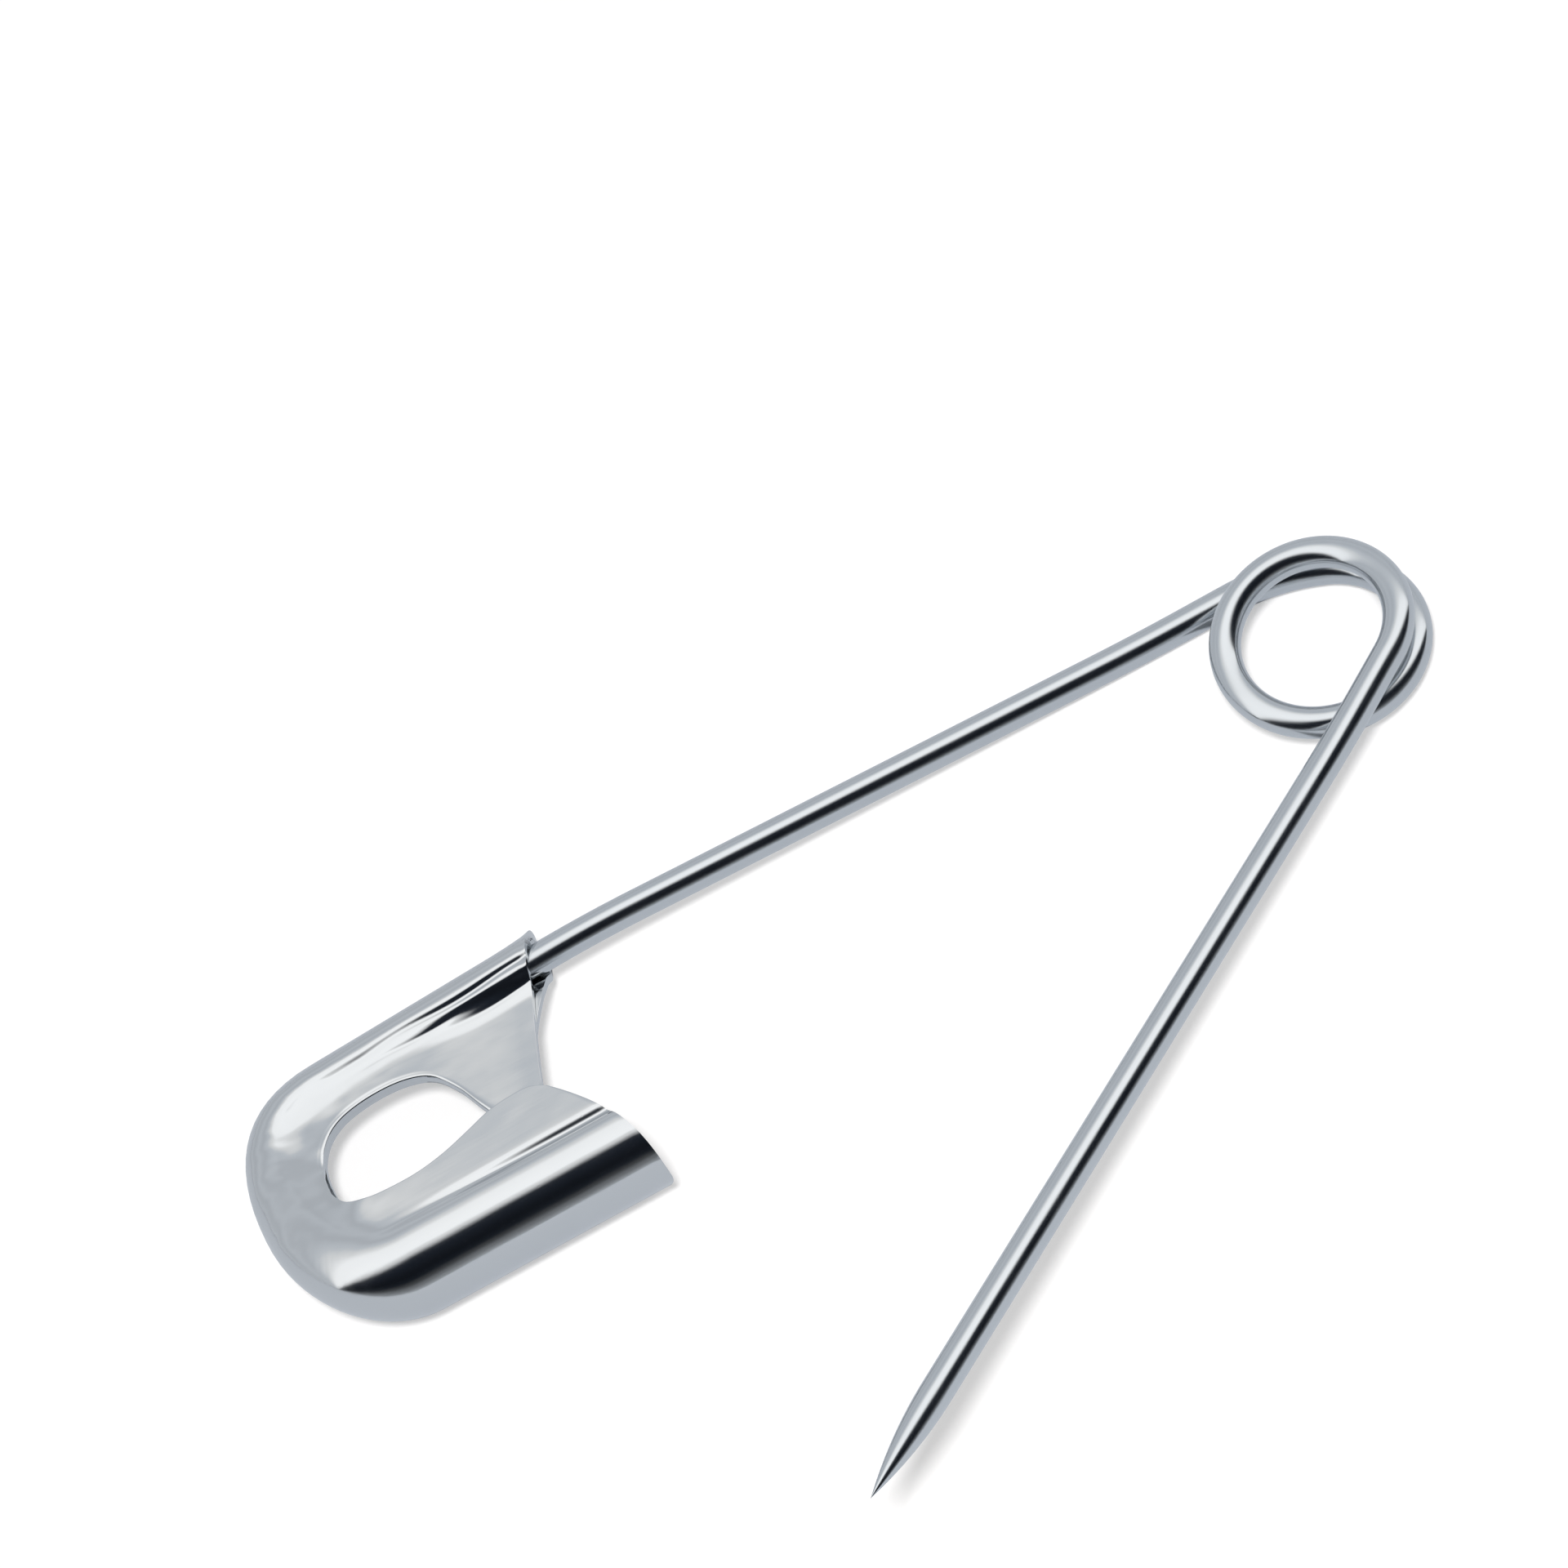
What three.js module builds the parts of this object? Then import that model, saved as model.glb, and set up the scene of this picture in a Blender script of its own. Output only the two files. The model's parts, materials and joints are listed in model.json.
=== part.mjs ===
// A spring-wire safety pin, lying open on its back. One bent wire makes the fixed arm, the coil and
// the pin arm with its ground point. One folded sheet of metal makes the cap, which is crimped on
// the fixed arm and has a channel that the point springs into.
// Millimetres, +Z up. The fixed arm runs along +X from the coil, and the pin arm opens towards +Y.
import * as THREE from "three";

// Whole pin
const overallLength = 51;
const openAngle = THREE.MathUtils.degToRad(35.5);

// Wire
const wireDiameter = 1.25;
const wireSides = 16;
const flexGap = 0.12; // clearance where the wire is parted because it flexes there

// Coil, wound from the fixed arm up: a gentle entry, a lower turn and a slightly tighter upper one.
// The radii are to the middle of the wire.
const entryRadius = 8;
const entryAngle = THREE.MathUtils.degToRad(28);
const lowerRadius = 3.7;
const lowerAngle = THREE.MathUtils.degToRad(213);
const coilRadius = 3.5; // of the upper turn, whose middle is the coil's axis
const turnGap = 0.45; // clear space between the two layers of the coil
const coilSteps = 64;
const coilSplitShare = 1 / 2; // of the coil's length, where its upper part starts to turn

// Fixed arm
const armBend = 2; // reach of a bend in the wire, to each side of its corner
const armStep = 1.2; // length of one facet along a straight wire
const wireInCap = 8.6; // how far the fixed arm reaches into the cap

// Pin arm
const heelLength = 8; // first stretch of the pin arm, where fingers bend it
const pointInsertion = 7.5; // how far past the cap's mouth the point ends when it is shut
const pointTaper = 4.8; // length of the ground point
const pointSteps = 8;
const passClearance = 0.2; // free space between the pin arm and the cap's front as it swings over

// Cap
const sheetThickness = 0.3;
const crimpClearance = 0.05; // between the wire and the rim that is rolled round it
const pressGap = 0.02; // between the two leaves of the sheet where they are pressed together
const capLength = 14.8;
const capWidth = 12.7; // at the mouth
const capTaper = THREE.MathUtils.degToRad(2.8); // of the flap's edge towards the rim
const capTurn = THREE.MathUtils.degToRad(2.6); // of the rim from the line of the fixed arm
const flapBead = 2.1; // half the cap's thickness, and the radius of the flap's rolled edge
const flapLevel = 1.95; // height of the flap's flat wall over the cap's middle plane
const endReach = 4.7; // length of the rounded end
const rimEndBulge = 0.66; // how full the end is beside the rim, as a share of its reach
const flapEndBulge = 0.53; // and beside the flap, where it is slimmer
const rimFillet = 1.6; // where the rim runs out into the plate
const flapFillet = 2.8; // where the flap's rolled edge runs out into its flat wall
const swellPower = 1.4; // how late the end of the cap swells from the rim's size to the flap's
const flapMouthBow = -0.5; // the flap's mouth edge bows out this far
const plateMouthBow = 0.15; // and the plate's mouth edge bows in
const backMouthReach = 0.6; // the back leaf reaches further round the wire
const backMouthTightness = 6; // and this closely beside it
const rimFlare = 0.12; // the rim opens out a little at the mouth
const beadSteps = 7;
const wallSteps = 5;
const flatSteps = 2;
const rowsPerStation = 2;

// Where the sheet starts and ends, station by station round the cap. The first share is the place
// along the outer edge, and the others the inner edge's place, of the cap's length from the mouth
// and of its width from the rim. The inner edge is the plate's top, the window and the flap's lip.
const rimStationShares = [
  [0, 0.186, 0.539],
  [0.04, 0.206, 0.559],
  [0.12, 0.243, 0.567],
  [0.22, 0.28, 0.556],
  [0.32, 0.312, 0.522],
  [0.41, 0.339, 0.455],
  [0.51, 0.37, 0.36],
  [0.61, 0.419, 0.291],
  [0.71, 0.488, 0.258],
  [0.86, 0.595, 0.244],
  [1, 0.689, 0.252],
];
const endStationShares = [
  [0.2, 0.75, 0.291],
  [0.4, 0.787, 0.37],
  [0.58, 0.804, 0.465],
  [0.73, 0.801, 0.551],
  [0.86, 0.777, 0.606],
  [1, 0.723, 0.626],
];
const flapStationShares = [
  [0.1, 0.642, 0.63],
  [0.21, 0.561, 0.63],
  [0.33, 0.48, 0.618],
  [0.45, 0.399, 0.594],
  [0.57, 0.324, 0.571],
  [0.69, 0.257, 0.567],
  [0.83, 0.199, 0.573],
  [1, 0.159, 0.598],
];
const mouthRows = 6; // rows over which a mouth's bow and flare fade out

// Sizes that follow
const wireRadius = wireDiameter / 2;
const crimpRadius = wireRadius + crimpClearance + sheetThickness;
const plateLevel = sheetThickness + pressGap / 2;
const fixedLevel = wireRadius; // height of the coil's lowest turn over the floor
const capLevel = flapBead; // height of the cap's middle plane
const coilTurn = 3 * Math.PI - openAngle;
const turnShare = (2 * Math.PI) / coilTurn;
const coilRise = (wireDiameter + turnGap) / THREE.MathUtils.smoothstep(turnShare, 0, 1);
const pinLevel = fixedLevel + coilRise;
const lowerMiddle = outwards(entryAngle + lowerAngle).multiplyScalar(coilRadius - lowerRadius);
const entryMiddle = outwards(entryAngle)
  .multiplyScalar(lowerRadius - entryRadius)
  .add(lowerMiddle);
const coilArcs = [
  { turned: entryAngle, radius: entryRadius, middle: entryMiddle },
  { turned: entryAngle + lowerAngle, radius: lowerRadius, middle: lowerMiddle },
  { turned: coilTurn, radius: coilRadius, middle: new THREE.Vector2() },
];
const coilStart = outwards(0).multiplyScalar(entryRadius).add(entryMiddle);
const coilReach = lowerRadius - lowerMiddle.x + wireRadius;
const endStart = capLength - endReach;
const endMiddle = (capWidth - endStart * Math.tan(capTaper)) / 2 - crimpRadius;
const capReach = capLength * Math.cos(capTurn) - endMiddle * Math.sin(capTurn);
const capMouth = overallLength - coilReach - capReach;
const pinReach = capMouth + pointInsertion;
const capHeel = new THREE.Vector3(capMouth - armBend, coilStart.y, capLevel);
const rimDirection = new THREE.Vector3(Math.cos(capTurn), Math.sin(capTurn), 0);
const capOrigin = capHeel.clone().addScaledVector(rimDirection, armBend);

// The direction from a turn's middle to the wire, once the wire has turned by an angle.
function outwards(turned) {
  return new THREE.Vector2(-Math.sin(turned), -Math.cos(turned));
}

const steelWire = { color: 0xaab0b6, metalness: 1, roughness: 0.22 };
const platedSheet = { color: 0xb9bec4, metalness: 1, roughness: 0.28 };

function named(name, geometry, finish) {
  const mesh = new THREE.Mesh(geometry, new THREE.MeshStandardMaterial(finish));
  mesh.name = name;
  return mesh;
}

// Round wire along a path, with flat ends.
function wireAlong(path, steps) {
  const section = new THREE.Shape().absarc(0, 0, wireRadius, 0, 2 * Math.PI);
  return new THREE.ExtrudeGeometry(section, {
    steps,
    curveSegments: wireSides / 2,
    extrudePath: path,
    bevelEnabled: false,
  });
}

// A path through corners, each rounded over the same reach to both sides.
function bentPath(corners, reach) {
  const path = new THREE.CurvePath();
  let last = corners[0];
  for (let i = 1; i < corners.length - 1; i++) {
    const back = corners[i - 1].clone().sub(corners[i]).setLength(reach).add(corners[i]);
    const ahead = corners[i + 1].clone().sub(corners[i]).setLength(reach).add(corners[i]);
    path.add(new THREE.LineCurve3(last, back));
    path.add(new THREE.QuadraticBezierCurve3(back, corners[i], ahead));
    last = ahead;
  }
  path.add(new THREE.LineCurve3(last, corners[corners.length - 1]));
  return path;
}

// The arc that the coil's wire is on at a share of its turning, from the fixed arm up.
function coilArc(share) {
  return coilArcs.find((arc) => share * coilTurn < arc.turned) ?? coilArcs[coilArcs.length - 1];
}

// The middle of the coil's wire between two shares of its turning. It winds clockwise, seen from
// above, and leaves both arms level.
class CoilCurve extends THREE.Curve {
  constructor(from, to) {
    super();
    this.from = from;
    this.to = to;
  }

  getPoint(t, target = new THREE.Vector3()) {
    const share = THREE.MathUtils.lerp(this.from, this.to, t);
    const { radius, middle } = coilArc(share);
    const plan = outwards(share * coilTurn).multiplyScalar(radius).add(middle);
    const height = fixedLevel + coilRise * THREE.MathUtils.smoothstep(share, 0, 1);
    return target.set(plan.x, plan.y, height);
  }
}

// The coil is parted half way, so that its upper half can turn on the lower one.
function coilHalf(name, from, to) {
  const partingShare = (share) => flexGap / 2 / (coilArc(share).radius * coilTurn);
  const curve = new CoilCurve(from + partingShare(from), to - partingShare(to));
  return named(name, wireAlong(curve, coilSteps / 2), steelWire);
}

// The straight arm that carries the cap: level at the coil, up to the cap's middle, and then turned
// into the rolled rim.
function fixedArm() {
  const start = new THREE.Vector3(coilStart.x + flexGap / 2, coilStart.y, fixedLevel);
  const foot = new THREE.Vector3(coilStart.x + armBend * 2, coilStart.y, fixedLevel);
  const end = capOrigin.clone().addScaledVector(rimDirection, wireInCap);
  const path = bentPath([start, foot, capHeel, end], armBend);
  return named("fixed_arm", wireAlong(path, Math.round(path.getLength() / armStep)), steelWire);
}

// The pin arm's frame: its X runs level along the arm from where it leaves the coil.
function pinArm() {
  const frame = new THREE.Group();
  frame.rotation.z = openAngle;
  frame.position.set(
    -coilRadius * Math.sin(openAngle),
    coilRadius * Math.cos(openAngle),
    pinLevel,
  );

  const bend = heelLength / 2;
  const passLevel = capLevel + flapBead + passClearance + wireRadius;
  const slope = Math.atan2(passLevel - pinLevel, capMouth - bend);
  const heelStart = new THREE.Vector3(flexGap / 2, 0, 0);
  const knee = new THREE.Vector3(bend, 0, 0);
  const rising = new THREE.Vector3(Math.cos(slope), 0, Math.sin(slope));
  const heelEnd = knee.clone().addScaledVector(rising, bend - flexGap / 2);
  const heelPath = bentPath([heelStart, knee, heelEnd], bend / 2);
  frame.add(named("pin_arm_heel", wireAlong(heelPath, Math.round(heelLength / armStep)), steelWire));

  const armLength = pinReach - heelLength;
  const shaft = armLength - pointTaper;
  const profile = [new THREE.Vector2(0, 0)];
  for (let i = 0; i < pointSteps; i++) {
    const share = i / pointSteps;
    if (i === 0) profile.push(new THREE.Vector2(wireRadius, 0));
    profile.push(new THREE.Vector2(wireRadius * (1 - share * share), shaft + share * pointTaper));
  }
  profile.push(new THREE.Vector2(0, armLength));
  const arm = named("pin_arm", new THREE.LatheGeometry(profile, wireSides), steelWire);
  arm.quaternion.setFromUnitVectors(new THREE.Vector3(0, 1, 0), rising);
  arm.position.copy(heelEnd).addScaledVector(rising, flexGap);
  frame.add(arm);
  return frame;
}

// The cap's outer edge in plan, from the mouth along the rim, round the end and back along the flap.
// A place is 0 to 1 on the rim, 1 to 2 round the end and 2 to 3 on the flap.
function outerEdge() {
  const flapY = (x) => capWidth - crimpRadius - x * Math.tan(capTaper);
  const tip = new THREE.Vector2(capLength, endMiddle);
  const rimEnd = new THREE.Vector2(endStart, -crimpRadius);
  const flapStart = new THREE.Vector2(endStart, flapY(endStart));
  const halfWidth = (flapY(endStart) + crimpRadius) / 2;
  return [
    new THREE.LineCurve(new THREE.Vector2(0, -crimpRadius), rimEnd),
    new THREE.CubicBezierCurve(
      rimEnd,
      new THREE.Vector2(endStart + endReach * rimEndBulge, -crimpRadius),
      new THREE.Vector2(capLength, endMiddle - halfWidth * rimEndBulge),
      tip,
    ),
    new THREE.CubicBezierCurve(
      tip,
      new THREE.Vector2(capLength, endMiddle + halfWidth * flapEndBulge),
      new THREE.Vector2(endStart + endReach * flapEndBulge, flapY(endStart + endReach * flapEndBulge)),
      flapStart,
    ),
    new THREE.LineCurve(flapStart, new THREE.Vector2(0, flapY(0))),
  ];
}

// A place on the outer edge, with the direction into the cap and how far round the end it is.
function edgeAt(edge, place) {
  const [rim, lowerEnd, upperEnd, flap] = edge;
  const round = THREE.MathUtils.clamp(place - 1, 0, 1);
  let curve = rim;
  let t = place;
  if (place > 2) {
    curve = flap;
    t = place - 2;
  } else if (place > 1) {
    curve = round < 1 / 2 ? lowerEnd : upperEnd;
    t = round < 1 / 2 ? 2 * round : 2 * round - 1;
  }
  const point = curve.getPoint(t);
  const along = curve.getTangent(t);
  return { point, inward: new THREE.Vector2(-along.y, along.x), round };
}

// The sheet's outer face across its edge: a rolled bead, a fillet and a flat wall. It gives the
// height at a distance from the outer edge, and the face's normal there.
function sheetFace(bead, level, fillet) {
  const foot = Math.sqrt((bead + fillet) ** 2 - (level + fillet) ** 2);
  const crestEnd = bead * (1 + foot / (bead + fillet));
  const face = (distance) => {
    const past = distance - bead;
    if (distance < crestEnd) {
      const height = Math.sqrt(Math.max(bead ** 2 - past ** 2, 0));
      return { distance, height, normal: new THREE.Vector2(past, height).normalize() };
    }
    if (past > foot) return { distance, height: level, normal: new THREE.Vector2(0, 1) };
    const drop = Math.sqrt(fillet ** 2 - (foot - past) ** 2);
    return {
      distance,
      height: level + fillet - drop,
      normal: new THREE.Vector2(foot - past, drop).normalize(),
    };
  };
  return { face, foot };
}

// One row of the sheet: points across it, from the rolled edge to the inner edge.
function sheetRow(outer, inner, flare) {
  const swell = THREE.MathUtils.smoothstep(outer.round, 0, 1) ** swellPower;
  const bead = THREE.MathUtils.lerp(crimpRadius, flapBead, swell) + flare;
  const level = THREE.MathUtils.lerp(plateLevel, flapLevel, swell);
  const fillet = THREE.MathUtils.lerp(rimFillet, flapFillet, swell);
  const start = outer.point.clone().addScaledVector(outer.inward, -flare);
  const across = inner.clone().sub(start);
  const depth = across.dot(outer.inward);
  const { face, foot } = sheetFace(bead, level, fillet);
  const wallEnd = bead + Math.min(foot, depth - bead - sheetThickness);

  const distances = [];
  for (let i = 0; i < beadSteps; i++) {
    distances.push(bead * (1 - Math.cos((i / beadSteps) * (Math.PI / 2))));
  }
  for (let i = 0; i < wallSteps; i++) {
    distances.push(THREE.MathUtils.lerp(bead, wallEnd, i / wallSteps));
  }
  for (let i = 0; i <= flatSteps; i++) {
    distances.push(THREE.MathUtils.lerp(wallEnd, depth, i / flatSteps));
  }
  return distances.map((distance) => {
    const { height, normal } = face(distance);
    const within = distance - sheetThickness * normal.x;
    return {
      share: distance / depth,
      outside: start.clone().addScaledVector(across, distance / depth),
      outsideHeight: height,
      inside: start.clone().addScaledVector(across, within / depth),
      insideHeight: Math.max(height - sheetThickness * normal.y, 0),
    };
  });
}

// How much of a mouth's shape is left at a number of rows from the mouth.
function mouthFade(rowsIn) {
  return Math.max(1 - rowsIn / mouthRows, 0) ** 2;
}

// How far a mouth edge is shifted along the cap, at a share of the sheet's width.
function mouthShift(rowsIn, bow, share, tightness = 1) {
  return mouthFade(rowsIn) * bow * (4 * share * (1 - share)) ** tightness;
}

// A closed solid from rows of points on a sheet's outside and inside.
function closedSheet(outside, inside) {
  const rows = outside.length;
  const columns = outside[0].length;
  const positions = [...outside.flat(), ...inside.flat()].flatMap((p) => [p.x, p.y, p.z]);
  const out = (i, j) => i * columns + j;
  const within = (i, j) => rows * columns + i * columns + j;
  const index = [];
  const quad = (a, b, c, d) => index.push(a, b, c, a, c, d);
  for (let i = 0; i < rows - 1; i++) {
    for (let j = 0; j < columns - 1; j++) {
      quad(out(i, j), out(i + 1, j), out(i + 1, j + 1), out(i, j + 1));
      quad(within(i, j), within(i, j + 1), within(i + 1, j + 1), within(i + 1, j));
    }
    quad(out(i, 0), within(i, 0), within(i + 1, 0), out(i + 1, 0));
    const last = columns - 1;
    quad(out(i, last), out(i + 1, last), within(i + 1, last), within(i, last));
  }
  for (let j = 0; j < columns - 1; j++) {
    const last = rows - 1;
    quad(out(0, j), out(0, j + 1), within(0, j + 1), within(0, j));
    quad(out(last, j), within(last, j), within(last, j + 1), out(last, j + 1));
  }
  const geometry = new THREE.BufferGeometry();
  geometry.setAttribute("position", new THREE.Float32BufferAttribute(positions, 3));
  geometry.setIndex(index);
  geometry.computeVertexNormals();
  return geometry;
}

// The cap: one sheet, folded round its outer edge, front and back leaf alike.
function capSheet() {
  const edge = outerEdge();
  const stations = [
    ...rimStationShares,
    ...endStationShares.map(([place, x, y]) => [1 + place, x, y]),
    ...flapStationShares.map(([place, x, y]) => [2 + place, x, y]),
  ];
  const innerEdge = new THREE.CatmullRomCurve3(
    stations.map(([, x, y]) => new THREE.Vector3(x * capLength, y * capWidth - crimpRadius, 0)),
  );
  const spans = stations.length - 1;
  const rowCount = spans * rowsPerStation;
  const outside = [];
  const inside = [];
  for (let i = 0; i <= rowCount; i++) {
    const span = Math.min(Math.floor(i / rowsPerStation), spans - 1);
    const part = i / rowsPerStation - span;
    const place = THREE.MathUtils.lerp(stations[span][0], stations[span + 1][0], part);
    const inner = innerEdge.getPoint(i / rowCount);
    const flare = rimFlare * mouthFade(i);
    const row = sheetRow(edgeAt(edge, place), new THREE.Vector2(inner.x, inner.y), flare);
    const leaf = (side) =>
      row.map((point) => {
        const backReach = side < 0 ? backMouthReach : 0;
        const shift =
          mouthShift(i, plateMouthBow, point.share) +
          mouthShift(rowCount - i, flapMouthBow, point.share) -
          mouthShift(i, backReach, Math.sqrt(point.share), backMouthTightness);
        return {
          outside: new THREE.Vector3(
            point.outside.x + shift,
            point.outside.y,
            side * point.outsideHeight,
          ),
          inside: new THREE.Vector3(point.inside.x + shift, point.inside.y, side * point.insideHeight),
        };
      });
    const points = [...leaf(-1).reverse(), ...leaf(1).slice(1)];
    outside.push(points.map((point) => point.outside));
    inside.push(points.map((point) => point.inside));
  }
  const cap = named("cap", closedSheet(outside, inside), platedSheet);
  cap.position.copy(capOrigin);
  cap.rotation.z = capTurn;
  return cap;
}

// The pin, moved so that it stands on the floor with the middle of its outline over the origin.
const pin = new THREE.Group();
pin.add(
  capSheet(),
  fixedArm(),
  coilHalf("coil_lower", 0, coilSplitShare),
  coilHalf("coil_upper", coilSplitShare, 1),
  pinArm(),
);
const outline = new THREE.Box3().setFromObject(pin, true);
const middle = outline.getCenter(new THREE.Vector3());
pin.position.set(-middle.x, -middle.y, -outline.min.z);

const safetyPin = new THREE.Group();
safetyPin.add(pin);
export default safetyPin;
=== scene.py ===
import json
import math

import bpy
from mathutils import Matrix, Vector


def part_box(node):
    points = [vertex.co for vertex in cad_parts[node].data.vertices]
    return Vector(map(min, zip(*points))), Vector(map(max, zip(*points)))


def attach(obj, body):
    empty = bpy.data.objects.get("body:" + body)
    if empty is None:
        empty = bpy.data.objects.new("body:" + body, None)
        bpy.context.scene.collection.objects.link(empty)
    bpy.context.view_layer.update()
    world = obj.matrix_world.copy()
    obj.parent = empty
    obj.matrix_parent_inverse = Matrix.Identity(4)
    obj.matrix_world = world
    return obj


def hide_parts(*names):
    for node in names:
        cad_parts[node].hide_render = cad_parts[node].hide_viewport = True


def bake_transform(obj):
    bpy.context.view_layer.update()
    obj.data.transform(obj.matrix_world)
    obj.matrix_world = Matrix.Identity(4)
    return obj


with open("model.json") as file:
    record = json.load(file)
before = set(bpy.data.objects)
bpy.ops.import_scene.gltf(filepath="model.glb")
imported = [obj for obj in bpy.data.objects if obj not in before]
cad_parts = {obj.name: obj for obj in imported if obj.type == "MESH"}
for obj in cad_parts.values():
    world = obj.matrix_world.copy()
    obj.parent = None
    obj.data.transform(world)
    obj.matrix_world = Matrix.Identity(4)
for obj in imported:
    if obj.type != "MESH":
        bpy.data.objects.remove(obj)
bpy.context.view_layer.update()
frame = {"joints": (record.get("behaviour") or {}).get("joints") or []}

# The wire: spring steel, drawn to 1.25 mm and nickel plated, bent cold from one length.
# Its middle line is worked out here, from the places of the three joints: the fixed arm runs
# straight from the cap, the coil turns clockwise and upwards, and the pin arm leaves it on top.
wire_diameter = 0.00125
wire_radius = wire_diameter / 2
entry_radius = 0.008
entry_angle = math.radians(28)
lower_radius = 0.0037
lower_angle = math.radians(213)
turn_gap = 0.00045
joint_places = {joint["name"]: Vector(joint["pos_m"]) for joint in frame["joints"]}
coil_axis = joint_places["arm_swing"]
arm_start = joint_places["arm_lift"]
heel_end = joint_places["arm_squeeze"]
from_axis = (arm_start - coil_axis).to_2d()
coil_radius = from_axis.length
open_angle = math.atan2(-from_axis.x, from_axis.y)
fixed_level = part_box("fixed_arm")[0].z + wire_radius
coil_turn = 3 * math.pi - open_angle


def smooth(share):
    share = min(max(share, 0), 1)
    return share * share * (3 - 2 * share)


def eased(value, start, end):
    """0 up to start, 1 from end on, and a smooth rise between them."""
    return smooth((value - start) / (end - start))


coil_rise = (wire_diameter + turn_gap) / smooth(2 * math.pi / coil_turn)


def outwards(turned):
    """The direction from a turn's middle to the wire, once the wire has turned by an angle."""
    return Vector((-math.sin(turned), -math.cos(turned), 0))


upper_middle = Vector((coil_axis.x, coil_axis.y, 0))
lower_middle = upper_middle + outwards(entry_angle + lower_angle) * (coil_radius - lower_radius)
entry_middle = lower_middle + outwards(entry_angle) * (lower_radius - entry_radius)


def coil_place(share):
    """The middle of the coil's wire at a share of its turning, from the fixed arm up."""
    turned = share * coil_turn
    radius, middle = coil_radius, upper_middle
    if turned < entry_angle:
        radius, middle = entry_radius, entry_middle
    elif turned < entry_angle + lower_angle:
        radius, middle = lower_radius, lower_middle
    place = middle + outwards(turned) * radius
    place.z = fixed_level + coil_rise * smooth(share)
    return place


def bent_line(corners, reach, step):
    """Places along straight lines through corners, each corner rounded over the same reach."""
    bend_steps = 10
    places = [corners[0]]

    def straight(goal):
        start = places[-1]
        count = max(round((goal - start).length / step), 1)
        places.extend(start.lerp(goal, (i + 1) / count) for i in range(count))

    for before, corner, after in zip(corners, corners[1:], corners[2:]):
        back = corner + (before - corner).normalized() * reach
        ahead = corner + (after - corner).normalized() * reach
        straight(back)
        for i in range(1, bend_steps + 1):
            t = i / bend_steps
            places.append(back.lerp(corner, t).lerp(corner.lerp(ahead, t), t))
    straight(corners[-1])
    return places


# The surface marks that wire and sheet share: plating is never quite even. Fine lines follow the
# way the metal was drawn or rolled, soft clouds vary its gloss, and a few small pits catch dirt.
def new_group(name, inputs, outputs):
    group = bpy.data.node_groups.new(name, "ShaderNodeTree")
    for socket, kind, value in inputs:
        made = group.interface.new_socket(socket, in_out="INPUT", socket_type=kind)
        if value is not None:
            made.default_value = value
    for socket, kind in outputs:
        group.interface.new_socket(socket, in_out="OUTPUT", socket_type=kind)
    return group, group.nodes.new("NodeGroupInput"), group.nodes.new("NodeGroupOutput")


def put(tree, kind, inputs=(), **settings):
    """Adds a node, sets its properties, and fills or links its inputs by name or place."""
    node = tree.nodes.new(kind)
    for name, value in settings.items():
        setattr(node, name, value)
    for name, value in dict(inputs).items():
        if isinstance(value, bpy.types.NodeSocket):
            tree.links.new(value, node.inputs[name])
        else:
            node.inputs[name].default_value = value
    return node


marks, marks_in, marks_out = new_group(
    "plating_marks",
    [
        ("Place", "NodeSocketVector", None),
        ("Line stretch", "NodeSocketVector", (1, 1, 1)),
        ("Clouds per metre", "NodeSocketFloat", 400),
        ("Shade", "NodeSocketColor", (0.6, 0.6, 0.6, 1)),
        ("Shade between", "NodeSocketColor", (0.7, 0.7, 0.7, 1)),
        ("Roughness low", "NodeSocketFloat", 0.1),
        ("Roughness high", "NodeSocketFloat", 0.2),
    ],
    [
        ("Color", "NodeSocketColor"),
        ("Roughness", "NodeSocketFloat"),
        ("Height", "NodeSocketFloat"),
    ],
)
pits_per_cloud = 9.0
pit_size = 0.09  # of the room that each pit has
gloss_lift = 0.12
gloss_low, gloss_high = 0.2, 0.6
stretched = put(
    marks, "ShaderNodeVectorMath",
    {0: marks_in.outputs["Place"], 1: marks_in.outputs["Line stretch"]},
    operation="MULTIPLY",
)
lines = put(
    marks, "ShaderNodeTexNoise",
    {"Vector": stretched.outputs[0], "Scale": 1.0, "Detail": 3.0, "Roughness": 0.6},
)
clouds = put(
    marks, "ShaderNodeTexNoise",
    {
        "Vector": marks_in.outputs["Place"],
        "Scale": marks_in.outputs["Clouds per metre"],
        "Detail": 4.0,
        "Roughness": 0.55,
        "Distortion": 0.4,
    },
)
pit_scale = put(
    marks, "ShaderNodeMath",
    {0: marks_in.outputs["Clouds per metre"], 1: pits_per_cloud},
    operation="MULTIPLY",
)
pits = put(
    marks, "ShaderNodeTexVoronoi",
    {"Vector": marks_in.outputs["Place"], "Scale": pit_scale.outputs[0], "Randomness": 1.0},
)
pit_depth = put(
    marks, "ShaderNodeMapRange",
    {
        "Value": pits.outputs["Distance"],
        "From Min": 0.0,
        "From Max": pit_size,
        "To Min": 1.0,
        "To Max": 0.0,
    },
)
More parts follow.
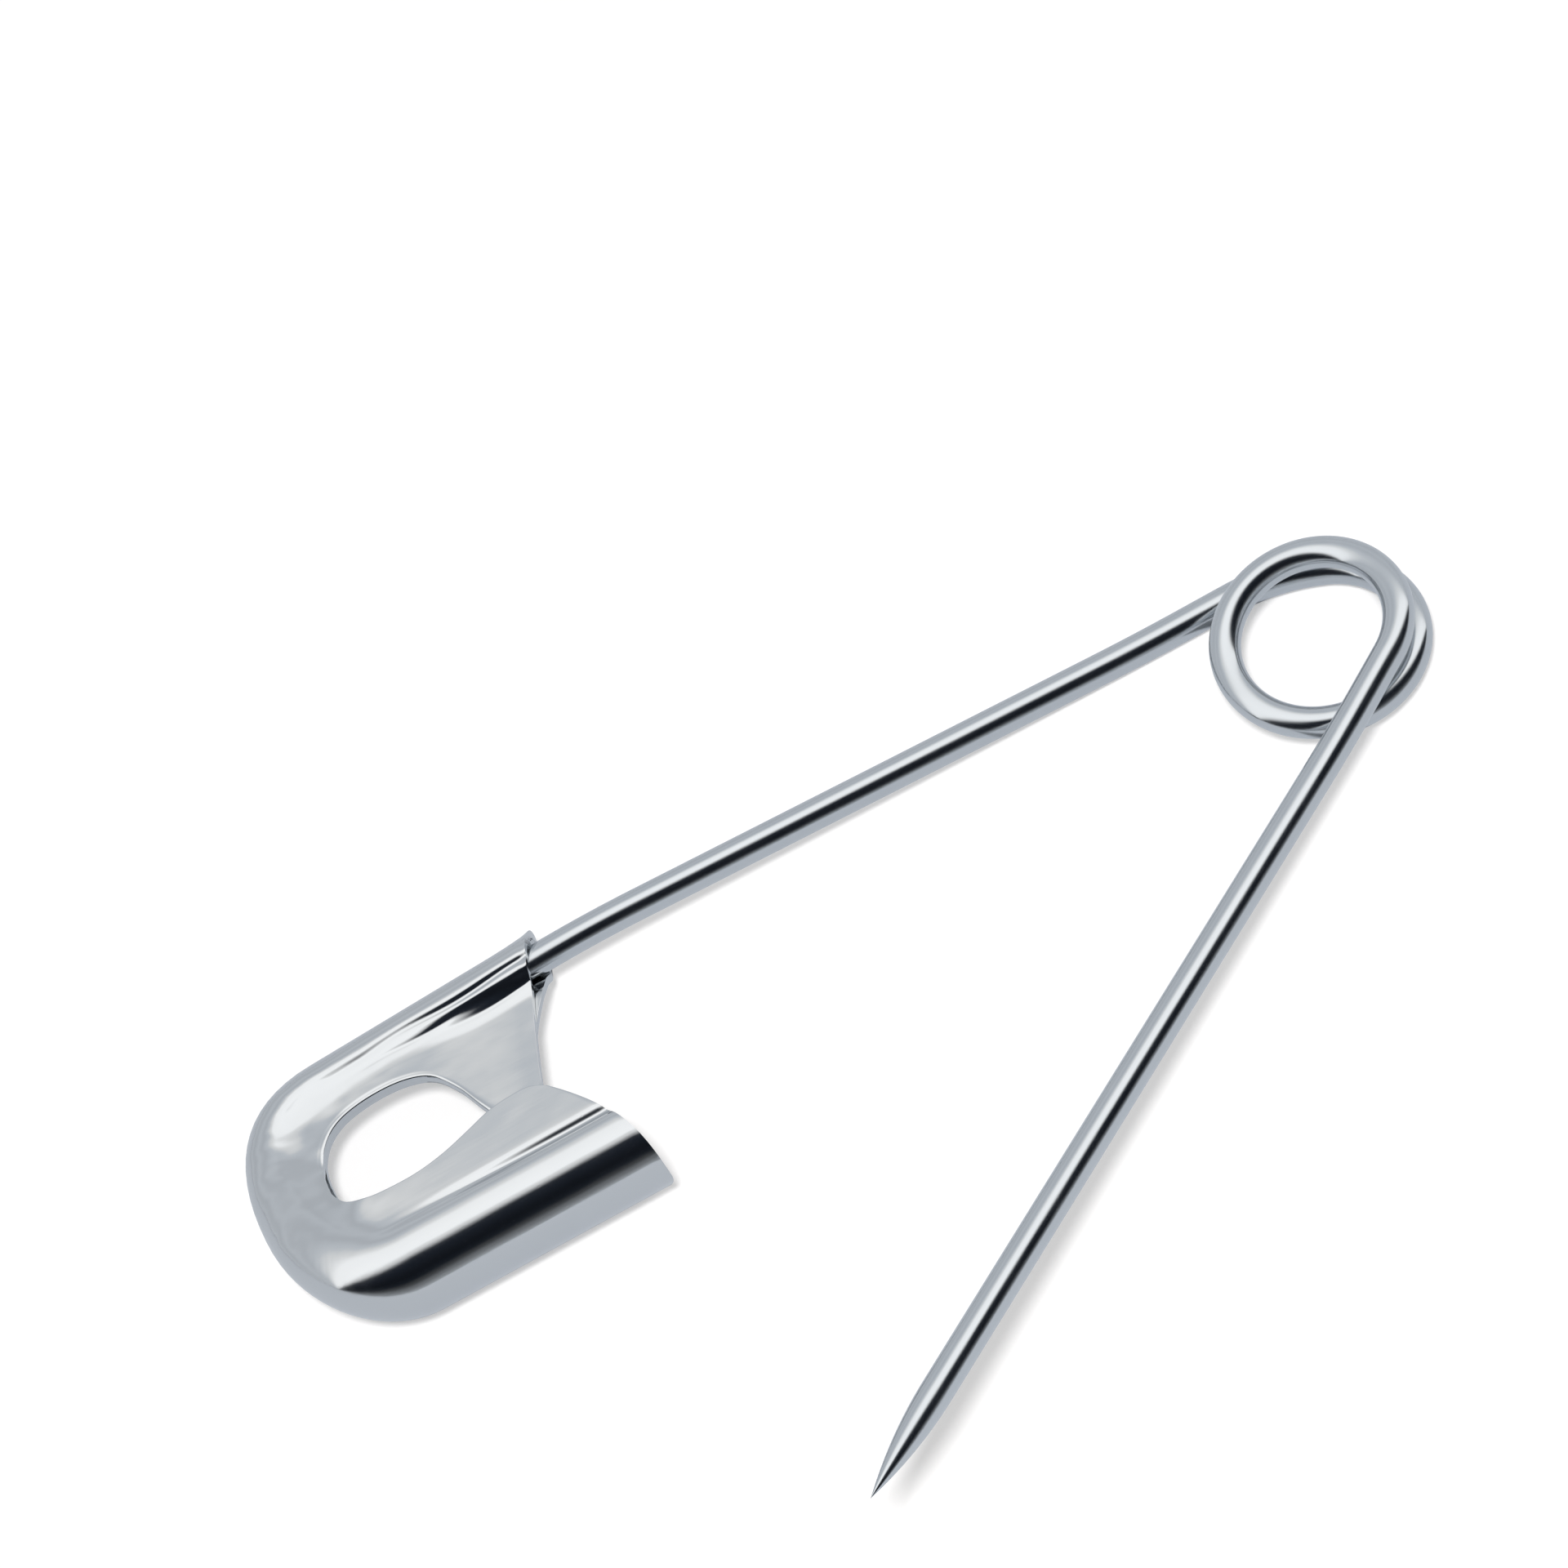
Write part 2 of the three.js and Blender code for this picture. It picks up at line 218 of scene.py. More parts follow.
# The Mix node's colours are its inputs 6 and 7, and its output 2.
marks_color = put(
    marks, "ShaderNodeMix",
    {
        "Factor": clouds.outputs["Fac"],
        6: marks_in.outputs["Shade"],
        7: marks_in.outputs["Shade between"],
    },
    data_type="RGBA",
)
marks_blend = put(
    marks, "ShaderNodeMath",
    {0: clouds.outputs["Fac"], 1: lines.outputs["Fac"], 2: gloss_lift},
    operation="MULTIPLY_ADD",
)
marks_roughness = put(
    marks, "ShaderNodeMapRange",
    {
        "Value": marks_blend.outputs[0],
        "From Min": gloss_low,
        "From Max": gloss_high,
        "To Min": marks_in.outputs["Roughness low"],
        "To Max": marks_in.outputs["Roughness high"],
    },
)
marks_height = put(
    marks, "ShaderNodeMath",
    {0: lines.outputs["Fac"], 1: pit_depth.outputs["Result"]},
    operation="SUBTRACT",
)
marks.links.new(marks_color.outputs[2], marks_out.inputs["Color"])
marks.links.new(marks_roughness.outputs["Result"], marks_out.inputs["Roughness"])
marks.links.new(marks_height.outputs[0], marks_out.inputs["Height"])


def plated_metal(name, place_attribute, values, bump_height, waves=None):
    """A plated metal whose marks follow an attribute of the piece, or its Object coordinates.
    waves adds a piece's own larger waves to the height of the marks."""
    material = bpy.data.materials.new(name)
    material.use_nodes = True
    tree = material.node_tree
    surface = tree.nodes["Principled BSDF"]
    surface.inputs["Metallic"].default_value = 1.0
    if place_attribute:
        place = put(tree, "ShaderNodeAttribute", attribute_name=place_attribute).outputs["Vector"]
    else:
        place = put(tree, "ShaderNodeTexCoord").outputs["Object"]
    finish = put(tree, "ShaderNodeGroup", node_tree=marks)
    tree.links.new(place, finish.inputs["Place"])
    for socket, value in values.items():
        finish.inputs[socket].default_value = value
    height = finish.outputs["Height"]
    if waves:
        height = waves(tree, place, height)
    bump = put(
        tree, "ShaderNodeBump",
        {"Height": height, "Distance": bump_height, "Strength": 1.0},
    )
    tree.links.new(finish.outputs["Color"], surface.inputs["Base Color"])
    tree.links.new(finish.outputs["Roughness"], surface.inputs["Roughness"])
    tree.links.new(bump.outputs["Normal"], surface.inputs["Normal"])
    return material


wire_metal = plated_metal(
    "nickel_plated_wire",
    "wire_place",
    {
        "Line stretch": (9000, 9000, 250),
        "Clouds per metre": 700,
        "Shade": (0.62, 0.65, 0.675, 1),
        "Shade between": (0.68, 0.705, 0.725, 1),
        "Roughness low": 0.14,
        "Roughness high": 0.24,
    },
    bump_height=0.0000012,
)


# A drawn wire: a round section swept along its middle line, with its own length stored on it for
# the drawing lines. The path's girth attribute thins it where it is ground to a point.
def geometry_tree(name, sockets):
    tree = bpy.data.node_groups.new(name, "GeometryNodeTree")
    tree.is_modifier = True
    tree.interface.new_socket("Geometry", in_out="INPUT", socket_type="NodeSocketGeometry")
    tree.interface.new_socket("Geometry", in_out="OUTPUT", socket_type="NodeSocketGeometry")
    for socket, kind in sockets:
        tree.interface.new_socket(socket, in_out="INPUT", socket_type=kind)
    return tree, tree.nodes.new("NodeGroupInput"), tree.nodes.new("NodeGroupOutput")


wire_tree, wire_in, wire_out = geometry_tree(
    "drawn_wire",
    [
        ("Wire diameter", "NodeSocketFloat"),
        ("Sides", "NodeSocketInt"),
        ("Finish", "NodeSocketMaterial"),
    ],
)
line = put(wire_tree, "GeometryNodeMeshToCurve", {"Mesh": wire_in.outputs["Geometry"]})
girth = put(wire_tree, "GeometryNodeInputNamedAttribute", {"Name": "girth"}, data_type="FLOAT")
along = put(wire_tree, "GeometryNodeSplineParameter")
lengthwise = put(
    wire_tree, "GeometryNodeCaptureAttribute", {"Geometry": line.outputs["Curve"]}
)
lengthwise.capture_items.new("FLOAT", "Length")
wire_tree.links.new(along.outputs["Length"], lengthwise.inputs[1])
half_thick = put(
    wire_tree, "ShaderNodeMath",
    {0: wire_in.outputs["Wire diameter"], 1: 2.0},
    operation="DIVIDE",
)
ring = put(
    wire_tree, "GeometryNodeCurvePrimitiveCircle",
    {"Resolution": wire_in.outputs["Sides"], "Radius": half_thick.outputs[0]},
    mode="RADIUS",
)
ring_place = put(wire_tree, "GeometryNodeInputPosition")
crosswise = put(
    wire_tree, "GeometryNodeCaptureAttribute", {"Geometry": ring.outputs["Curve"]}
)
crosswise.capture_items.new("VECTOR", "Place")
wire_tree.links.new(ring_place.outputs["Position"], crosswise.inputs[1])
swept = put(
    wire_tree, "GeometryNodeCurveToMesh",
    {
        "Curve": lengthwise.outputs["Geometry"],
        "Profile Curve": crosswise.outputs["Geometry"],
        "Scale": girth.outputs["Attribute"],
        "Fill Caps": True,
    },
)
apart = put(wire_tree, "ShaderNodeSeparateXYZ", {"Vector": crosswise.outputs[1]})
wire_place = put(
    wire_tree, "ShaderNodeCombineXYZ",
    {"X": apart.outputs["X"], "Y": apart.outputs["Y"], "Z": lengthwise.outputs[1]},
)
placed = put(
    wire_tree, "GeometryNodeStoreNamedAttribute",
    {
        "Geometry": swept.outputs["Mesh"],
        "Name": "wire_place",
        "Value": wire_place.outputs["Vector"],
    },
    data_type="FLOAT_VECTOR",
    domain="POINT",
)
real = put(wire_tree, "GeometryNodeRealizeInstances", {"Geometry": placed.outputs["Geometry"]})
finished = put(
    wire_tree, "GeometryNodeSetMaterial",
    {"Geometry": real.outputs["Geometry"], "Material": wire_in.outputs["Finish"]},
)
wire_tree.links.new(finished.outputs["Geometry"], wire_out.inputs["Geometry"])


def made_by(tree, name, source, values, crease):
    """The plain mesh that a tree makes of a source mesh. Edges sharper than crease stay sharp."""
    maker = bpy.data.objects.new(name + "_maker", source)
    bpy.context.scene.collection.objects.link(maker)
    modifier = maker.modifiers.new("make", "NODES")
    modifier.node_group = tree
    sockets = {item.name: item.identifier for item in tree.interface.items_tree}
    for socket, value in values.items():
        modifier[sockets[socket]] = value
    bpy.context.view_layer.update()
    evaluated = maker.evaluated_get(bpy.context.evaluated_depsgraph_get())
    mesh = bpy.data.meshes.new_from_object(evaluated)
    maker.modifiers.remove(modifier)
    bpy.data.objects.remove(maker)
    mesh.name = name
    for polygon in mesh.polygons:
        polygon.use_smooth = True
    mesh.set_sharp_from_angle(angle=crease)
    piece = bpy.data.objects.new(name, mesh)
    bpy.context.scene.collection.objects.link(piece)
    return piece


def wire_piece(name, places, girths=None, start_way=None, end_way=None):
    """A stretch of wire. A ring close to each end, square to the wire's way there, lets two
    stretches meet without a seam."""
    tuck = 0.00001
    places = list(places)
    start_way = start_way or (places[1] - places[0]).normalized()
    end_way = end_way or (places[-1] - places[-2]).normalized()
    places.insert(1, places[0] + start_way * tuck)
    if girths is None:
        places.insert(-1, places[-1] - end_way * tuck)
        girths = [1.0] * len(places)
    else:
        girths = [girths[0], *girths]
    path = bpy.data.meshes.new(name + "_path")
    path.from_pydata(places, [(i, i + 1) for i in range(len(places) - 1)], [])
    path.attributes.new("girth", "FLOAT", "POINT").data.foreach_set("value", girths)
    sides = 56
    end_crease = math.radians(50)
    values = {"Wire diameter": wire_diameter, "Sides": sides, "Finish": wire_metal}
    piece = made_by(wire_tree, name, path, values, end_crease)
    return piece


# The cap's place: its rim is crimped on the end of the fixed arm. The sizes are those of one
# sheet of 0.3 mm metal, folded round its outer edge.
overall_length = 0.051
cap_length = 0.0148
cap_width = 0.0127
cap_taper = math.radians(2.8)
cap_turn = math.radians(2.6)
sheet_thickness = 0.0003
crimp_clearance = 0.00005
press_gap = 0.00002
flap_bead = 0.0021
flap_level = 0.00195
end_reach = 0.0047
crimp_radius = wire_radius + crimp_clearance + sheet_thickness
end_start = cap_length - end_reach
end_middle = (cap_width - end_start * math.tan(cap_taper)) / 2 - crimp_radius
cap_reach = cap_length * math.cos(cap_turn) - end_middle * math.sin(cap_turn)
coil_start = coil_place(0)
coil_reach = lower_radius - (lower_middle.x - coil_axis.x) + wire_radius
cap_mouth = overall_length - coil_reach - cap_reach
cap_origin = Vector((coil_axis.x + cap_mouth, coil_start.y, flap_bead))
rim_direction = Vector((math.cos(cap_turn), math.sin(cap_turn), 0))

# The fixed arm with the coil's lower turn. The wire leaves the coil level, climbs gently to the
# cap's middle and ends inside the crimped rim.
arm_bend = 0.002
wire_in_cap = 0.0086
wire_step = 0.001
coil_step_share = 1 / 220
turning_share = 0.15  # of the coil's length, to each side of its middle: where it winds up
cap_heel = cap_origin - Vector((arm_bend, 0, 0))
arm_foot = coil_start + Vector((2 * arm_bend, 0, 0))
arm_corners = [coil_start, arm_foot, cap_heel, cap_origin + rim_direction * wire_in_cap]


def coil_places(start, end):
    count = round((end - start) / coil_step_share)
    return [coil_place(start + (end - start) * i / count) for i in range(count + 1)]


def coil_way(share):
    return (coil_place(share + coil_step_share) - coil_place(share - coil_step_share)).normalized()


turning_start = 0.5 - turning_share
turning_end = 0.5 + turning_share
lower_places = bent_line(arm_corners, arm_bend, wire_step)[:0:-1] + coil_places(0, turning_start)
lower_wire = wire_piece("wire_fixed_side", lower_places, end_way=coil_way(turning_start))
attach(lower_wire, "root")
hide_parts("fixed_arm", "coil_lower")

# The middle of the coil, which winds up as the pin is shut: this stretch turns from the fixed
# side to the pin side along the coil's own curve.
middle_wire = wire_piece(
    "wire_coil_middle",
    coil_places(turning_start, turning_end),
    start_way=coil_way(turning_start),
    end_way=coil_way(turning_end),
)
middle_way = coil_way(0.5)
middle_way.z = 0
middle_way.normalize()
middle_place = coil_place(0.5)
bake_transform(middle_wire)

# The coil's upper turn, wound a little tighter than the lower one and lying free above it, so that
# it can turn as the pin is shut. It carries the pin arm.
heel_share = 0.905  # of the coil's turning, past which its wire bends with the heel
upper_wire = wire_piece(
    "wire_coil_top",
    coil_places(turning_end, heel_share),
    start_way=coil_way(turning_end),
    end_way=coil_way(heel_share),
)
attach(upper_wire, "coil_top")
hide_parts("coil_upper")

# The pin arm's heel: the last of the coil and the first of the arm, up to the middle of the gentle
# bend that lets the arm pass over the cap's front.
heel_length = 0.008
arm_level_way = Vector((math.cos(open_angle), math.sin(open_angle), 0))
knee = arm_start + arm_level_way * (heel_length / 2)
bend_places = bent_line([arm_start, knee, heel_end], heel_length / 4, wire_step / 4)
bend_middle = len(bend_places) // 2
bend_way = (bend_places[bend_middle + 1] - bend_places[bend_middle - 1]).normalized()
heel_wire = wire_piece(
    "wire_pin_heel",
    coil_places(heel_share, 1) + bend_places[1:bend_middle + 1],
    start_way=coil_way(heel_share),
    end_way=bend_way,
)
coil_place(heel_share)
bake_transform(heel_wire)
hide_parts("coil_upper", "pin_arm_heel")

# The pin arm, from that bend straight to its ground point. The grinding leaves a slender pointed
# arch.
point_insertion = 0.0075
point_taper = 0.0048
rising_way = (heel_end - knee).normalized()
arm_length = cap_mouth + point_insertion - heel_length
shaft_length = arm_length - point_taper
shaft_steps = round(shaft_length / (wire_step / 2))
point_steps = 48
point_crowding = 1.6  # its steps stand closer towards the tip
tip_girth = 0.012
shaft_shares = [i / shaft_steps for i in range(shaft_steps)]
point_shares = [i / point_steps for i in range(point_steps + 1)]
arm_places = bend_places[bend_middle:-1]
arm_places += [heel_end + rising_way * (shaft_length * share) for share in shaft_shares]
arm_girths = [1.0] * len(arm_places)
for share in point_shares:
    ground = 1 - (1 - share) ** point_crowding
    arm_places.append(heel_end + rising_way * (shaft_length + point_taper * ground))
    arm_girths.append(max(1 - ground * ground, tip_girth))
pin_wire = wire_piece("wire_pin_arm", arm_places, arm_girths, start_way=bend_way)
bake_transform(pin_wire)
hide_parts("pin_arm", "pin_arm_heel")

# The cap: one piece of sheet, stamped out and folded round its outer edge, with front and back
# leaf alike. The rim is rolled tight round the wire, the end swells, and the far side makes the
# channel that guards the point. The window is cut through both leaves.
rim_end_bulge = 0.66  # how full the end is beside the rim, as a share of its reach
flap_end_bulge = 0.53  # and beside the flap, where it is slimmer
rim_fillet = (0.0012, 0.003)  # where the rim runs out into the plate: at the mouth, and far in
wall_rise_start = 0.35  # share of the way round the end where the plate starts to rise to the flap
plate_rise = 0.0004  # of both leaves towards the front, far in
plate_rise_reach = (0.001, 0.008)
flap_fillet = 0.0028
swell_power = 1.4
plate_level = sheet_thickness + press_gap / 2
flap_mouth_bow = -0.0005
plate_mouth_bow = 0.00015
back_mouth_reach = 0.0006
back_mouth_tightness = 6
rim_flare = 0.00012
back_mouth_inset = 0.0003  # the back leaf's mouth edge stays behind the front one
cut_edge_splay = 0.00006  # the leaves part a little at their cut edge
cut_edge_share = 0.06
cut_roll = 0.00011  # how far stamping rolled the plate's cut edge
cut_roll_reach = 0.00024
stations_of_mouth = 3  # over which a mouth's bow and flare fade out
rim_station_shares = [
    (0, 0.186, 0.539),
    (0.04, 0.206, 0.559),
    (0.12, 0.243, 0.567),
    (0.22, 0.28, 0.556),
    (0.32, 0.312, 0.522),
    (0.41, 0.339, 0.455),
    (0.51, 0.37, 0.36),
    (0.61, 0.415, 0.282),
    (0.71, 0.482, 0.246),
    (0.86, 0.59, 0.234),
    (1, 0.68, 0.251),
]
end_station_shares = [
    (0.2, 0.735, 0.292),
    (0.4, 0.772, 0.36),
    (0.58, 0.785, 0.44),
    (0.73, 0.78, 0.518),
    (0.86, 0.755, 0.577),
    (1, 0.705, 0.607),
]
flap_station_shares = [
    (0.1, 0.634, 0.62),
    (0.21, 0.555, 0.623),
    (0.33, 0.476, 0.612),
    (0.45, 0.396, 0.589),
    (0.57, 0.322, 0.566),
    (0.69, 0.255, 0.56),
    (0.83, 0.199, 0.567),
    (1, 0.159, 0.596),
]


def flap_edge(x):
    return cap_width - crimp_radius - x * math.tan(cap_taper)


def bezier(points, t):
    """A place on a Bezier curve through two or four points, and its direction there."""
    while len(points) > 2:
        points = [a.lerp(b, t) for a, b in zip(points, points[1:])]
    return points[0].lerp(points[1], t), (points[1] - points[0]).normalized()


rim_end = Vector((end_start, -crimp_radius))
flap_start = Vector((end_start, flap_edge(end_start)))
end_tip = Vector((cap_length, end_middle))
half_width = (flap_edge(end_start) + crimp_radius) / 2
full_x = end_start + end_reach * flap_end_bulge
rim_line = [Vector((0, -crimp_radius)), rim_end]
lower_end = [
    rim_end,
    rim_end + Vector((end_reach * rim_end_bulge, 0)),
    end_tip - Vector((0, half_width * rim_end_bulge)),
    end_tip,
]
upper_end = [
    end_tip,
    end_tip + Vector((0, half_width * flap_end_bulge)),
    Vector((full_x, flap_edge(full_x))),
    flap_start,
]
flap_line = [flap_start, Vector((0, flap_edge(0)))]


def outer_place(place):
    """A place on the outer edge, the way inwards there, and its share of the way round the end.
    Places count from 0 to 1 on the rim, 1 to 2 round the end and 2 to 3 on the flap."""
    around = min(max(place - 1, 0), 1)
    if place <= 1:
        point, way = bezier(rim_line, place)
    elif place <= 1.5:
        point, way = bezier(lower_end, 2 * around)
    elif place <= 2:
        point, way = bezier(upper_end, 2 * around - 1)
    else:
        point, way = bezier(flap_line, place - 2)
    return point, Vector((-way.y, way.x)), around


def through(points, t):
    """A smooth curve through the stations, at t counted in stations."""
    i = min(int(t), len(points) - 2)
    part = t - i
    p1, p2 = points[i], points[i + 1]
    p0 = points[i - 1] if i > 0 else 2 * p1 - p2
    p3 = points[i + 2] if i + 2 < len(points) else 2 * p2 - p1
    d0, d1, d2 = (math.sqrt((b - a).length) for a, b in ((p0, p1), (p1, p2), (p2, p3)))
    m1 = ((p1 - p0) / d0 - (p2 - p0) / (d0 + d1) + (p2 - p1) / d1) * d1
    m2 = ((p2 - p1) / d1 - (p3 - p1) / (d1 + d2) + (p3 - p2) / d2) * d1
    square, cube = part * part, part**3
    return (
        p1 * (2 * cube - 3 * square + 1)
        + m1 * (cube - 2 * square + part)
        + p2 * (3 * square - 2 * cube)
        + m2 * (cube - square)
    )


def lerp(a, b, share):
    return a + (b - a) * share


def sheet_height(distance, bead, level, fillet):
    """Height and normal of the sheet's outer face at a distance from its outer edge."""
    foot = math.sqrt((bead + fillet) ** 2 - (level + fillet) ** 2)
    past = distance - bead
    if distance < bead * (1 + foot / (bead + fillet)):
        height = math.sqrt(max(bead**2 - past**2, 0))
        return height, Vector((past, height)).normalized()
    if past > foot:
        return level, Vector((0, 1))
    drop = math.sqrt(fillet**2 - (foot - past) ** 2)
    return level + fillet - drop, Vector((foot - past, drop)).normalized()


bead_steps = 40
wall_steps = 34
flat_steps = 16
lip_steps = 7
lip_reach = 0.9 * sheet_thickness
rows_per_station = 6
stations = (
    rim_station_shares
    + [(1 + place, x, y) for place, x, y in end_station_shares]
    + [(2 + place, x, y) for place, x, y in flap_station_shares]
)
inner_stations = [
    Vector((x * cap_length, y * cap_width - crimp_radius)) for place, x, y in stations
]
places_round = [Vector((place, 0)) for place, x, y in stations]


# Marks of the press: long shallow grooves, each with its depth, half width, reach along the cap,
# and its place across. A negative depth makes a ridge. The first groove runs beside the flap's
# rolled edge, the others beside the rim.
flap_groove = (0.0002, 0.00025, -0.002, 0.0125)
flap_groove_inset = 0.00275
rim_grooves = [
    (0.00009, 0.00015, -0.004, 0.0135, 0.00031),
    (-0.000045, 0.00017, -0.003, 0.0085, 0.00062),
    (0.00004, 0.00012, -0.001, 0.0068, 0.0011),
    (0.00002, 0.00009, 0.0035, 0.0105, 0.00078),
]
groove_wander = 0.00005
wander_along, wander_across = 1300, 9000  # radians per metre


def groove_depth(x, offset, groove):
    """How deep a groove is at a place, deepest in its first third and fading to its ends."""
    depth, half_wide, start, end = groove[:4]
    full_from, full_to = 0.25, 0.3
    share = (x - start) / (end - start)
    fade = eased(share, 0, full_from) * (1 - eased(share, full_to, 1))
    return depth * fade * math.exp(-((offset / half_wide) ** 2))


def press_marks(place):
    x, y = place.x, place.y
    flap_offset = y - (flap_edge(x) - flap_groove_inset)
    total = groove_depth(x, flap_offset, flap_groove)
    for groove in rim_grooves:
        across = groove[4]
        wander = groove_wander * math.sin(x * wander_along + across * wander_across)
        total += groove_depth(x, y - across - wander, groove)
    return total


def mouth_fade(stations_in):
    return max(1 - stations_in / stations_of_mouth, 0) ** 2


def sheet_row(row):
    """One row of the sheet: its steps from the rolled edge to the inner edge, each with the place
    and height of both faces and its share of the way, and the row's rise, bead and depth."""
    t = row / rows_per_station
    span = min(int(t), len(stations) - 2)
    place = lerp(stations[span][0], stations[span + 1][0], t - span)
    edge, inward, around = outer_place(place)
    swell = smooth(around) ** swell_power
    flare = rim_flare * mouth_fade(t)
    edge -= inward * flare
    bead = lerp(crimp_radius, flap_bead, swell) + flare
    wall_rise = eased(around, wall_rise_start, 1)
    level = lerp(plate_level, flap_level, wall_rise)
    rise = plate_rise * eased(edge.x, *plate_rise_reach) * (1 - wall_rise)
    along_rim = min(edge.x / end_start, 1)
    fillet = lerp(lerp(rim_fillet[0], rim_fillet[1], along_rim), flap_fillet, swell)
    across = through(inner_stations, t) - edge
    depth = across.dot(inward)
    front = level + rise
    foot = math.sqrt((bead + fillet) ** 2 - (front + fillet) ** 2)
    wall_end = bead + min(foot, depth - bead - sheet_thickness)
    distances = [bead * (1 - math.cos(i / bead_steps * math.pi / 2)) for i in range(bead_steps)]
    distances += [lerp(bead, wall_end, i / wall_steps) for i in range(wall_steps)]
    lip_start = depth - lip_reach
    distances += [lerp(wall_end, lip_start, i / flat_steps) for i in range(flat_steps)]
    distances += [lerp(lip_start, depth, i / lip_steps) for i in range(lip_steps + 1)]
    points = []
    for distance in distances:
        height, normal = sheet_height(distance, bead, front, fillet)
        within = distance - sheet_thickness * normal.x
        outside = edge + across * (distance / depth)
        inside = edge + across * (within / depth)
        height -= press_marks(outside)
        splay = cut_edge_splay * eased(distance / depth, 1 - cut_edge_share, 1)
        rolled = max(1 - (depth - distance) / cut_roll_reach, 0)
        height += (splay - cut_roll * rolled**2) * (1 - wall_rise)
        inside_height = max(height - sheet_thickness * normal.y, rise_at(distance, bead, rise))
        points.append((outside, height, inside, inside_height, distance / depth))
    return points, rise, bead, depth


def rise_at(distance, bead, rise):
    """How far the leaves' parting lies in front of the middle, at a distance from the edge."""
    return rise * smooth((distance - bead) / bead)


def mouth_shift(stations_in, bow, share, tightness=1):
    return mouth_fade(stations_in) * bow * (4 * share * (1 - share)) ** tightness


row_count = (len(stations) - 1) * rows_per_station
outside_rows = []
inside_rows = []
for row in range(row_count + 1):
    from_start = row / rows_per_station
    from_end = len(stations) - 1 - from_start
    points, rise, bead, depth = sheet_row(row)
    leaves = []
    for side in (-1, 1):
        leaf = []
        for outside, height, inside, inside_height, share in points:
            shift = mouth_shift(from_start, plate_mouth_bow, share)
            # The flap's mouth bows out in front and in behind, which rounds its outer corner.
            shift += mouth_shift(from_end, side * flap_mouth_bow, share)
            if side < 0:
                shift += mouth_fade(from_start) * back_mouth_inset * share
                rooted = math.sqrt(share)
                shift -= mouth_shift(from_start, back_mouth_reach, rooted, back_mouth_tightness)
                parting = rise_at(share * depth, bead, rise)
                height = 2 * parting - height
                inside_height = 2 * parting - inside_height
            leaf.append((
                Vector((outside.x + shift, outside.y, height)),
                Vector((inside.x + shift, inside.y, inside_height)),
            ))
        leaves.append(leaf)
    whole = leaves[0][::-1] + leaves[1][1:]
    outside_rows.append([outside for outside, inside in whole])
    inside_rows.append([inside for outside, inside in whole])


def closed_sheet(name, outside, inside):
    """A closed skin over rows of places on a sheet's outside and inside."""
    rows, columns = len(outside), len(outside[0])
    places = [p for row in outside for p in row] + [p for row in inside for p in row]
    faces = []

    def out(i, j):
        return i * columns + j

    def within(i, j):
        return (rows + i) * columns + j

    for i in range(rows - 1):
        for j in range(columns - 1):
            faces.append((out(i, j), out(i + 1, j), out(i + 1, j + 1), out(i, j + 1)))
            faces.append((within(i, j), within(i, j + 1), within(i + 1, j + 1), within(i + 1, j)))
        last = columns - 1
        faces.append((out(i, 0), within(i, 0), within(i + 1, 0), out(i + 1, 0)))
        faces.append((out(i, last), out(i + 1, last), within(i + 1, last), within(i, last)))
    for j in range(columns - 1):
        last = rows - 1
        faces.append((out(0, j), out(0, j + 1), within(0, j + 1), within(0, j)))
        faces.append((out(last, j), within(last, j), within(last, j + 1), out(last, j + 1)))
    mesh = bpy.data.meshes.new(name)
    mesh.from_pydata(places, [], faces)
    return mesh


def formed_share(place):
    """How much the press stretched the sheet here: most round the end, least along the flap."""
    plate_share, flap_share = 0.22, 0.1
    rim_to_plate = (0.0004, 0.0014)
    plate_to_end = (0.006, 0.01)
    plate_to_flap = (0.0055, 0.0085)
    on_plate = eased(place.y, *rim_to_plate)
    round_end = eased(place.x, *plate_to_end)
    towards_flap = eased(place.y, *plate_to_flap)
    return lerp(lerp(plate_share * on_plate, 1, round_end), flap_share, towards_flap)


cap_mesh = closed_sheet("cap_sheet", outside_rows, inside_rows)
formed_values = [formed_share(vertex.co) for vertex in cap_mesh.vertices]
cap_mesh.attributes.new("formed", "FLOAT", "POINT").data.foreach_set("value", formed_values)
turned = rim_direction.to_track_quat("X", "Z").to_matrix().to_4x4()
turned.translation = cap_origin
cap_mesh.transform(turned)
for polygon in cap_mesh.polygons:
    polygon.use_smooth = True
cap = bpy.data.objects.new("cap_sheet", cap_mesh)
bpy.context.scene.collection.objects.link(cap)
edge_round = cap.modifiers.new("rounded cut edges", "BEVEL")
edge_round.width = 0.00006
edge_round.segments = 3
edge_round.limit_method = "ANGLE"
edge_round.angle_limit = math.radians(50)


